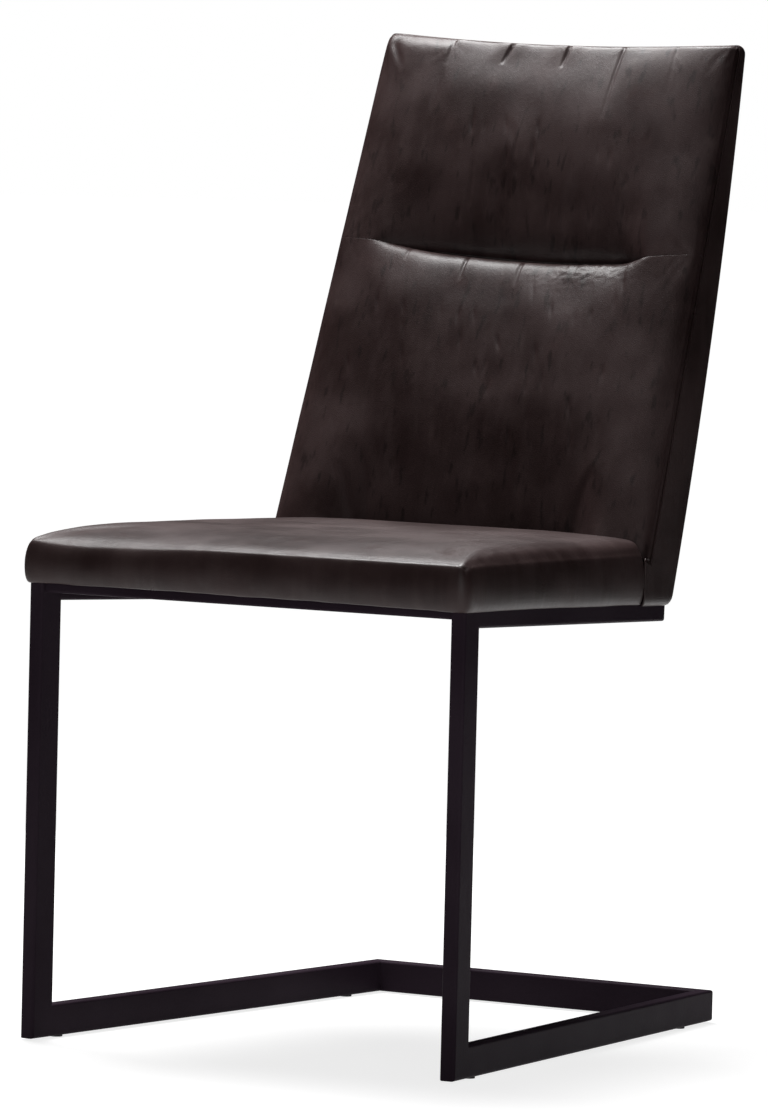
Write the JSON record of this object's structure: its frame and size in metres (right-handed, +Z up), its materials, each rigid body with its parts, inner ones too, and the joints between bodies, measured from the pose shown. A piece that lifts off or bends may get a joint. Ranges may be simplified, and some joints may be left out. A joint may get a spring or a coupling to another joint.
{
  "type": "cantilever dining chair",
  "caption": "Cantilever dining chair with a flat-tube steel base, a padded leather seat and a high leaning padded back with a curved seam.",
  "frame": {"origin": "on the floor, at the middle of the chair's width and depth", "axes": "+Z up, the sitter faces -Y, +X to the right seen from the front"},
  "size_m": [0.4794, 0.5814, 0.9431],
  "materials": {
    "frame_steel": "satin powder coat, near black with a brown tint",
    "inner_steel": "plain black primer",
    "zinc_hardware": "bright zinc plate",
    "black_plastic": "fine moulded texture",
    "plywood": "sanded, unfinished",
    "leather": "dark brown waxed leather, soft sheen, fine grain and small creases",
    "foam": "open-cell upholstery foam",
    "dust_cloth": "thin black non-woven cloth"
  },
  "bodies": {
    "root": {"left_leg": "frame_steel", "right_leg": "frame_steel", "left_runner": "frame_steel", "right_runner": "frame_steel", "rear_floor_bar": "frame_steel", "left_seat_rail": "frame_steel", "right_seat_rail": "frame_steel", "front_seat_bar": "frame_steel", "rear_seat_bar": "frame_steel", "seat_tabs": "frame_steel", "left_back_upright": "inner_steel", "right_back_upright": "inner_steel", "back_top_bar": "inner_steel", "back_lower_bar": "inner_steel", "seat_bolts": "zinc_hardware", "seat_t_nuts": "zinc_hardware", "panel_screws": "zinc_hardware", "rail_end_caps": "black_plastic", "floor_glides": "black_plastic", "seat_board": "plywood", "back_panel": "plywood", "seat_cover": "leather", "upper_back_cover": "leather", "lower_back_cover": "leather", "rear_back_cover": "leather", "seat_foam": "foam", "upper_back_foam": "foam", "lower_back_foam": "foam", "rear_back_foam": "foam", "seat_dust_cover": "dust_cloth", "back_dust_cover": "dust_cloth"}
  },
  "joints": []
}
